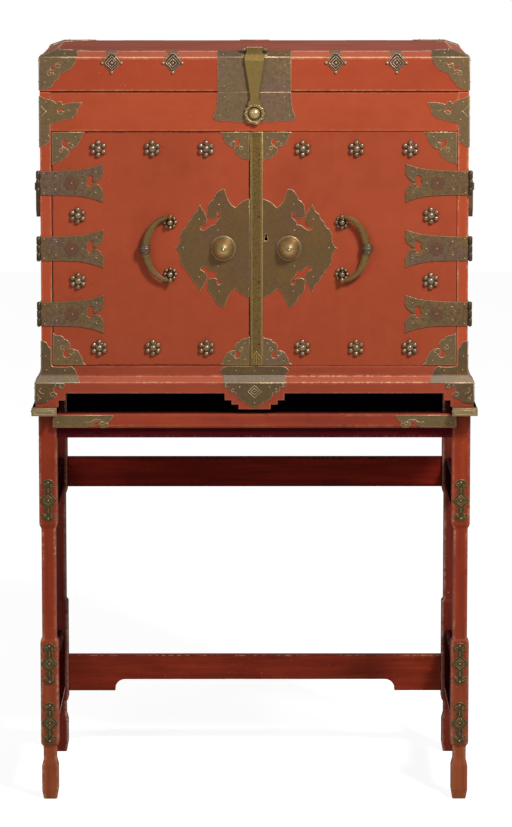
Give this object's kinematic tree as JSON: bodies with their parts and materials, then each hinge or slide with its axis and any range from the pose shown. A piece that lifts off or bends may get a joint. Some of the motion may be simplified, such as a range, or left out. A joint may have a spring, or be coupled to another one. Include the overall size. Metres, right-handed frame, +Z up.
{
  "type": "chinese wedding cabinet",
  "caption": "Red lacquered Chinese wedding cabinet with brass strap hinges, a hasped lid and a pair of doors, on a dark lacquered stand with square turned legs",
  "frame": {"origin": "on the floor under the middle of the cabinet's bounding box", "axes": "+X to the cabinet's left-hand neighbour as one looks at it, that is to the viewer's right; +Y from the doors to the back; +Z up"},
  "size_m": [0.805, 0.513, 1.3733],
  "materials": {
    "red_lacquer": "red lacquer on wood, worn to a soft sheen, with faint grain and small chips",
    "stand_lacquer": "dark brown-red lacquer on wood, rubbed dark on its edges and feet",
    "bare_wood": "bare softwood inside, dull with age",
    "aged_brass": "cut sheet brass with an olive-brown patina and engraved lines",
    "polished_brass": "cast and turned brass rubbed bright by handling",
    "wrought_iron": "dark iron, dull, with worn edges"
  },
  "bodies": {
    "cabinet": {"front_legs": "stand_lacquer", "rear_legs": "stand_lacquer", "apron_rails": "stand_lacquer", "front_moulding": "stand_lacquer", "side_rails": "stand_lacquer", "rear_upper_stretcher": "stand_lacquer", "rear_lower_stretcher": "stand_lacquer", "runners": "stand_lacquer", "runner_end_caps": "aged_brass", "moulding_straps": "aged_brass", "leg_mounts": "aged_brass", "plinth_front": "red_lacquer", "plinth_back": "red_lacquer", "plinth_sides": "red_lacquer", "case_bottom": "bare_wood", "case_sides": "red_lacquer", "case_back": "red_lacquer", "frieze_board": "red_lacquer", "tray_floor": "bare_wood", "shelf": "bare_wood", "frieze_corner_mounts": "aged_brass", "base_corner_mounts": "aged_brass", "base_centre_mount": "aged_brass", "lower_hasp_plate": "aged_brass", "hasp_stud": "polished_brass", "side_hinge_leaves": "aged_brass", "lid_hinge_lower_leaves": "aged_brass", "carry_handle_posts": "aged_brass"},
    "lid": {"lid_top": "red_lacquer", "lid_long_boards": "red_lacquer", "lid_ends": "red_lacquer", "lid_corner_mounts": "aged_brass", "lid_edge_mounts": "aged_brass", "lid_hinge_upper_leaves": "aged_brass", "upper_hasp_plate": "aged_brass"},
    "hasp": {"hasp": "polished_brass"},
    "left_door": {"left_door_panel": "red_lacquer", "left_door_straps": "aged_brass", "left_door_corner_mounts": "aged_brass", "left_door_rosettes": "aged_brass", "left_lock_plate": "aged_brass", "left_boss": "polished_brass", "left_pull_posts": "aged_brass", "lock_keeper": "wrought_iron"},
    "right_door": {"right_door_panel": "red_lacquer", "right_door_straps": "aged_brass", "right_door_corner_mounts": "aged_brass", "right_door_rosettes": "aged_brass", "right_lock_plate": "aged_brass", "right_boss": "polished_brass", "right_pull_posts": "aged_brass", "cover_strip": "polished_brass", "lock_case": "wrought_iron"},
    "left_pull": {"left_pull": "polished_brass"},
    "right_pull": {"right_pull": "polished_brass"},
    "left_carry_handle": {"left_carry_handle": "aged_brass"},
    "right_carry_handle": {"right_carry_handle": "aged_brass"},
    "lock_bolt": {"lock_bolt": "wrought_iron"}
  },
  "joints": [
    {"name": "lid_hinge", "type": "hinge", "parent": "cabinet", "child": "lid", "pos_m": [0, 0.2237, 1.294], "axis": [-1, 0, 0], "range_deg": [0, 95]},
    {"name": "left_door_hinge", "type": "hinge", "parent": "cabinet", "child": "left_door", "pos_m": [-0.3877, -0.2237, 1.0126], "axis": [0, 0, -1], "range_deg": [0, 170]},
    {"name": "right_door_hinge", "type": "hinge", "parent": "cabinet", "child": "right_door", "pos_m": [0.3877, -0.2237, 1.0126], "axis": [0, 0, 1], "range_deg": [0, 170]},
    {"name": "hasp_hinge", "type": "hinge", "parent": "lid", "child": "hasp", "pos_m": [0, -0.206, 1.36828], "axis": [-1, 0, 0], "range_deg": [0, 150]},
    {"name": "left_pull_swing", "type": "hinge", "parent": "left_door", "child": "left_pull", "pos_m": [-0.1512, -0.2324, 1.0136], "axis": [0, 0, 1], "range_deg": [0, 110]},
    {"name": "right_pull_swing", "type": "hinge", "parent": "right_door", "child": "right_pull", "pos_m": [0.1572, -0.2324, 1.0136], "axis": [0, 0, -1], "range_deg": [0, 110]},
    {"name": "left_carry_swing", "type": "hinge", "parent": "cabinet", "child": "left_carry_handle", "pos_m": [-0.396, 0, 1.1106], "axis": [0, 1, 0], "range_deg": [0, 100]},
    {"name": "right_carry_swing", "type": "hinge", "parent": "cabinet", "child": "right_carry_handle", "pos_m": [0.396, 0, 1.1106], "axis": [0, -1, 0], "range_deg": [0, 100]},
    {"name": "lock_bolt_slide", "type": "slide", "parent": "right_door", "child": "lock_bolt", "axis": [-1, 0, 0], "range_m": [0, 0.009]}
  ]
}
